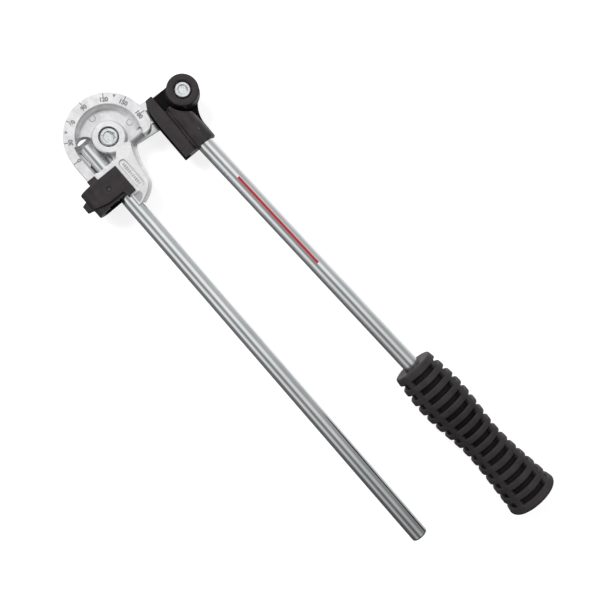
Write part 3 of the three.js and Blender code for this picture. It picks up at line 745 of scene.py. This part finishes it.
def make_scale(material):
    """Raised numbers, a line at each of them, and triangles at 45 and 135 degrees."""
    line = rectangle(0.36 * MM, 1.6 * MM)
    side = 1.3 * MM
    arrow = [(-side, side), (0, -side), (side, side)]
    form = bmesh.new()
    for mark in range(0, 181, 30):
        raised_mark(form, mark, NUMBER_RADIUS, number_mesh(str(mark)))
        raised_mark(form, mark, LINE_RADIUS, prism_mesh(line, MARK_HEIGHT))
    for mark in (45, 135):
        raised_mark(form, mark, ARROW_RADIUS, prism_mesh(arrow, MARK_HEIGHT))
    marks = smooth_by_angle(add_object("degree_scale", mesh_of(form, "degree_scale")), 30)
    settle(marks, "former", "cast_aluminium", material)


def on_former(x, y, depth):
    """A place on the former, x and y in millimetres from the pivot, at a depth under the scale face."""
    return Matrix.Translation((PIVOT.x + x * MM, PIVOT.y + y * MM, SCALE_FACE - depth))


def add_ejector_rings(form):
    profile = [(r * MM, z * MM) for r, z in EJECTOR_RING]
    for x, y in EJECTOR_PLACES:
        place = on_former(x, y, RECESS_DEPTH)
        ring = lathe("ejector_ring", profile, place, 40)
        ring.data.transform(place)
        form.from_mesh(ring.data)
        bpy.data.objects.remove(ring)


def add_pips(form):
    chance = random.Random(SEED)
    x, y = FIRST_PIP
    for k in range(PIP_COUNT):
        half = chance.uniform(0.34, 0.6) * MM
        reach = chance.uniform(0.75, 1.25) * MM
        pip = prism_mesh(rectangle(half, reach), 0.3 * MM)
        pip.transform(on_former(x + PIP_PITCH * k, y, 0.7 * MM))
        form.from_mesh(pip)


def make_cast_details(material):
    """Ejector-pin rings on the recess's floor, a row of raised pips and a grained tip on the arm."""
    form = bmesh.new()
    add_ejector_rings(form)
    add_pips(form)
    tip = prism_mesh([(x * MM, y * MM) for x, y in TIP_FIELD], 0.1 * MM)
    tip.transform(on_former(0, 0, 0.55 * MM))
    form.from_mesh(tip)
    details = smooth_by_angle(add_object("cast_details", mesh_of(form, "cast_details")), 30)
    settle(details, "former", "cast_aluminium", material)


# ------------------------------------------------------------------ grip
def swell(distance):
    """The grip's radius over the ribs, by a smooth curve through GRIP_SHAPE."""
    points = [(t * MM, r * MM) for t, r in GRIP_SHAPE]
    last = len(points) - 1
    i = max(k for k in range(last) if points[k][0] <= max(distance, 0))
    (x0, y0), (x1, y1) = points[i], points[i + 1]
    before, after = points[max(i - 1, 0)], points[min(i + 2, last)]
    m0 = (y1 - before[1]) / (x1 - before[0])
    m1 = (after[1] - y0) / (after[0] - x0)
    h = x1 - x0
    t = min(max((distance - x0) / h, 0), 1)
    return ((2 * t**3 - 3 * t**2 + 1) * y0 + (t**3 - 2 * t**2 + t) * h * m0
            + (3 * t**2 - 2 * t**3) * y1 + (t**3 - t**2) * h * m1)


def groove_spans():
    """Start and end of each groove between two ribs, from the grip's start."""
    starts = [FIRST_RIB + (i - 1) * RIB_PITCH + RIB_WIDTH / 2 for i in range(RIB_COUNT + 1)]
    return [(start, start + RIB_PITCH - RIB_WIDTH) for start in starts]


def groove_stations():
    """Distances along the grip, each with its share of the groove's depth and of the edge's rounding."""
    side = [  # from the rib's flat top down to the groove's floor
        (-RIB_EDGE, 0, 0.0), (-RIB_EDGE * 0.55, 0, 0.12), (-RIB_EDGE * 0.2, 0, 0.42),
        (0.0, 0.0, 0.9), (0.12 * MM, 0.55, 0.4), (0.25 * MM, 1, 0),
    ]
    stations = []
    for start, end in groove_spans():
        stations += [(start + step, depth, rounding) for step, depth, rounding in side]
        stations.append(((start + end) / 2, 1, 0))
        stations += [(end - step, depth, rounding) for step, depth, rounding in reversed(side)]
    return stations


def bridge_share(angle):
    """1 inside the lengthwise bridges, 0 in the windows between them."""
    for centre in BRIDGES:
        away = abs((angle - centre + math.pi) % (2 * math.pi) - math.pi)
        if away < BRIDGE_HALF:
            return 1.0
    return 0.0


def grip_angles():
    """Angles round the grip, closer together at the sides of each bridge."""
    slope = math.radians(0.9)
    angles = []
    for centre in BRIDGES:
        inside = [BRIDGE_HALF * k / 4 for k in range(-4, 5)]
        inside[0] += slope * 0.1
        inside[-1] -= slope * 0.1
        half_window = math.pi / len(BRIDGES) - BRIDGE_HALF
        outside = [BRIDGE_HALF + slope + (half_window - slope) * k / 18 for k in range(18)]
        angles += [centre + a for a in inside + outside]
        angles += [centre - a for a in outside[1:]] + [centre - outside[0]]
    return sorted(a % (2 * math.pi) for a in angles)


def collar_profile():
    """Distance and radius from the bore's mouth to the outside of the grip's plain start."""
    bore = BAR_R + FIT
    outer = swell(0)
    mouth = [(1.5 * MM, bore), (0.6 * MM, bore + 0.4 * MM), (0.6 * MM, bore + 2.2 * MM)]
    return mouth + [(back * MM, outer - inset * MM) for inset, back in COLLAR_EDGE]


def end_profile():
    """Distance and radius over the flared end and down into its shallow dish."""
    outer = swell(GRIP_LENGTH)
    floor = GRIP_LENGTH - 1.4 * MM
    edge = [(GRIP_LENGTH - back * MM, outer - inset * MM) for inset, back in END_EDGE]
    return edge + [(floor, outer - 5.2 * MM), (floor, 3 * MM), (floor + 0.4 * MM, 2.4 * MM)]


def lowered(bridged, depth, rounding):
    """How far the skin lies under the rib tops."""
    in_window = (GROOVE_DEPTH * depth + 0.35 * MM * rounding) * (1 - bridged)
    on_bridge = 0.25 * MM * bridged if depth > 0 else 0
    return in_window + on_bridge


def grip_rings(angles):
    """The rings of the skin: distance, share of the groove's depth, and a radius for each angle."""
    shares = [bridge_share(a) for a in angles]
    rings = [(distance, 0.0, [radius] * len(angles)) for distance, radius in collar_profile()]
    for distance, depth, rounding in groove_stations():
        outer = swell(distance) - 0.08 * MM
        rings.append((distance, depth, [outer - lowered(share, depth, rounding) for share in shares]))
    return rings + [(distance, 0.0, [radius] * len(angles)) for distance, radius in end_profile()]


def grip_skin(angles, rings):
    """Vertices and faces of the skin, and for each face whether it lies on a groove's floor."""
    count = len(angles)
    in_window = [bridge_share(a) == 0 for a in angles]
    vertices = [(r * math.cos(a), -r * math.sin(a), distance)
                for distance, _, radii in rings for r, a in zip(radii, angles)]
    faces, sunk = [], []
    for k, ((_, depth, _), (_, next_depth, _)) in enumerate(zip(rings, rings[1:])):
        row, next_row = k * count, (k + 1) * count
        deep = depth > 0.5 and next_depth > 0.5
        for i in range(count):
            j = (i + 1) % count
            faces.append([row + i, row + j, next_row + j, next_row + i])
            sunk.append(deep and in_window[i] and in_window[j])
    return vertices, faces, sunk


def close_grip(vertices, faces, angles):
    """Adds the bore, its floor past the bar's end, and the middle of the end's dish."""
    count = len(angles)
    bore = BAR_R + FIT
    bore_end = GRIP_LENGTH - GRIP_CAP + 0.5 * MM
    inner = len(vertices)
    last = inner - count
    vertices += [(bore * math.cos(a), -bore * math.sin(a), bore_end) for a in angles]
    faces += [[i, inner + i, inner + (i + 1) % count, (i + 1) % count] for i in range(count)]
    faces += [[inner + i for i in range(count)], [last + i for i in range(count)][::-1]]


def make_grip(ribs, shaded_grooves):
    start_of_bar, direction, bar_length = lever_axis()
    start = start_of_bar + direction * (bar_length + GRIP_CAP - GRIP_LENGTH)
    angles = grip_angles()
    vertices, faces, sunk = grip_skin(angles, grip_rings(angles))
    close_grip(vertices, faces, angles)
    mesh = mesh_from("grip_moulding", vertices, faces)
    grip = add_object("grip_moulding", mesh, along_x(start, LEVER_TILT))
    smooth_by_angle(grip, 50)
    settle(grip, "lever", "grip_rubber", ribs, "grip")
    grip.data.materials.append(shaded_grooves)
    # The groove floors get the darker copy as painted shade.
    for face, dark in zip(grip.data.polygons, sunk):
        face.material_index = int(dark)


# ------------------------------------------------------------------ stage
def make_floor():
    half = 3
    corners = [(-half, -half, 0), (half, -half, 0), (half, half, 0), (-half, half, 0)]
    mesh = mesh_from("floor", corners, [[0, 1, 2, 3]])
    floor = add_object("floor", mesh)
    n = Nodes("pale_floor")
    tone = n.mix(n.noise(120, 2), (0.30, 0.30, 0.30), (0.31, 0.31, 0.31))
    white = (1, 1, 1, 1)
    pale = n.finish(Base_Color=tone, Roughness=0.9, Emission_Color=white, Emission_Strength=0.78)
    mesh.materials.append(pale)
    floor.visible_glossy = False


def studio_bands(tree, direction):
    """The light's colour, by the angle round the bars."""
    angle = tree.nodes.new("ShaderNodeMath")
    angle.operation = "ARCTAN2"
    tree.links.new(direction.outputs["Y"], angle.inputs[0])
    tree.links.new(direction.outputs["Z"], angle.inputs[1])
    share = tree.nodes.new("ShaderNodeMapRange")
    share.inputs["From Min"].default_value = -math.pi
    share.inputs["From Max"].default_value = math.pi
    tree.links.new(angle.outputs[0], share.inputs["Value"])
    bands = tree.nodes.new("ShaderNodeValToRGB")
    bands.color_ramp.interpolation = "EASE"
    elements = bands.color_ramp.elements
    while len(elements) < len(STUDIO_BANDS):
        elements.new(0.5)
    for element, (turn, grey) in zip(elements, STUDIO_BANDS):
        element.position = (turn + 1) / 2
        element.color = (grey * 0.985, grey * 0.995, grey, 1)
    tree.links.new(share.outputs["Result"], bands.inputs["Fac"])
    return bands.outputs["Color"]


def studio_fade(tree, direction):
    """The light's strength, which falls off towards the bars' free ends."""
    fade = tree.nodes.new("ShaderNodeMapRange")
    fade.inputs["From Min"].default_value = 0.0
    fade.inputs["From Max"].default_value = 0.62
    fade.inputs["To Min"].default_value = 1.12
    fade.inputs["To Max"].default_value = 0.12
    tree.links.new(direction.outputs["X"], fade.inputs["Value"])
    return fade.outputs["Result"]


def make_world():
    """Studio light all round, with plain white where the camera sees past the floor."""
    world = bpy.data.worlds.new("studio")
    bpy.context.scene.world = world
    world.use_nodes = True
    tree = world.node_tree
    tree.nodes.clear()
    link = tree.links.new
    place = tree.nodes.new("ShaderNodeTexCoord")
    direction = tree.nodes.new("ShaderNodeSeparateXYZ")
    link(place.outputs["Generated"], direction.inputs[0])
    light = tree.nodes.new("ShaderNodeBackground")
    link(studio_bands(tree, direction), light.inputs["Color"])
    link(studio_fade(tree, direction), light.inputs["Strength"])
    plain = tree.nodes.new("ShaderNodeBackground")
    plain.inputs["Color"].default_value = (1, 1, 1, 1)
    path = tree.nodes.new("ShaderNodeLightPath")
    mix = tree.nodes.new("ShaderNodeMixShader")
    link(path.outputs["Is Camera Ray"], mix.inputs[0])
    link(light.outputs[0], mix.inputs[1])
    link(plain.outputs[0], mix.inputs[2])
    output = tree.nodes.new("ShaderNodeOutputWorld")
    link(mix.outputs[0], output.inputs["Surface"])


def make_lamp(name, place, size, watts):
    """A round soft lamp that faces the origin and isn't mirrored in the metal."""
    lamp = bpy.data.lights.new(name, "AREA")
    lamp.shape = "DISK"
    lamp.size = size
    lamp.energy = watts
    holder = bpy.data.objects.new(name, lamp)
    bpy.context.scene.collection.objects.link(holder)
    holder.location = place
    holder.rotation_euler = (-Vector(place)).to_track_quat("-Z", "Y").to_euler()
    holder.visible_glossy = False


def make_lights():
    make_lamp("key", (-1.1, -0.25, 1.3), 0.9, 37)
    make_lamp("fill", (0.9, 0.9, 1.4), 1.4, 12)


def make_camera():
    """Above the tool, a little towards the free ends and the hook's side."""
    camera = bpy.data.cameras.new("camera")
    camera.lens = 54
    camera.sensor_width = 36
    holder = bpy.data.objects.new("camera", camera)
    bpy.context.scene.collection.objects.link(holder)
    holder.location = PIVOT + Vector((0.1534, -0.0534, 0.71735))
    holder.rotation_euler = [math.radians(a) for a in (1.9656, -7.2433, 49.1457)]
    bpy.context.scene.camera = holder


def recolour(node, material):
    """Gives a carried-over CAD node its material."""
    NODES[node].data.materials.clear()
    NODES[node].data.materials.append(material)


def build():
    aluminium = cast_aluminium()
    black = black_casting()
    bar = zinc_steel("zinc_steel_bar", along=(1, 1, 0.006))
    striped_bar = zinc_steel("zinc_steel_striped_bar", along=(1, 1, 0.006), stripe=STRIPE)
    sheet = zinc_steel("zinc_steel_sheet", along=(1, 0.25, 1))
    pins = pin_steel()
    springs = spring_steel()
    former = cast_copy("former_casting", "former", 0.32 * MM, 3, 0.4)
    settle(former, "former", "cast_aluminium", aluminium, "former")
    shoe = cast_copy("shoe_casting", "slide_shoe", 0.38 * MM, 5, 0.4)
    settle(shoe, "lever", "black_casting", black, "slide_shoe")
    hook = cast_copy("hook_casting", "hook", 0.32 * MM, 5, 0.5)
    settle(hook, "hook", "black_casting", black, "hook")
    make_fixed_bar(bar)
    make_lever_bar(striped_bar)
    for pin, body in PIN_BODIES.items():
        make_pin(pin + "_steel", pin, body, pins)
    for pin, body in PIN_BODIES.items():
        make_washer(pin + "_washer_steel", pin + "_washer", body, SHANK_R[pin] + FIT, sheet)
    for washer, body in (("link_washer", "former"), ("shoe_washer", "link")):
        make_washer(washer + "_steel", washer, body, THRUST_HOLE_R[washer], sheet)
    for pin, body in PIN_BODIES.items():
        make_circlip(pin + "_clip", pin, body, springs)
    make_link(sheet)
    make_hook_pin(springs)
    make_scale(scale_mark_aluminium())
    make_cast_details(field_aluminium())
    # The second rubber is a darker copy: painted shade for the groove floors.
    make_grip(grip_rubber("grip_rubber"), grip_rubber("shaded_groove_rubber", 0.35))
    recolour("main_pin_bush", bronze())
    recolour("lever_pin_bush", bronze())
    recolour("fixed_bar_roll_pin", springs)
    recolour("lever_roll_pin", springs)


build()
make_floor()
make_world()
make_lights()
make_camera()
bpy.context.scene.view_settings.view_transform = "Standard"
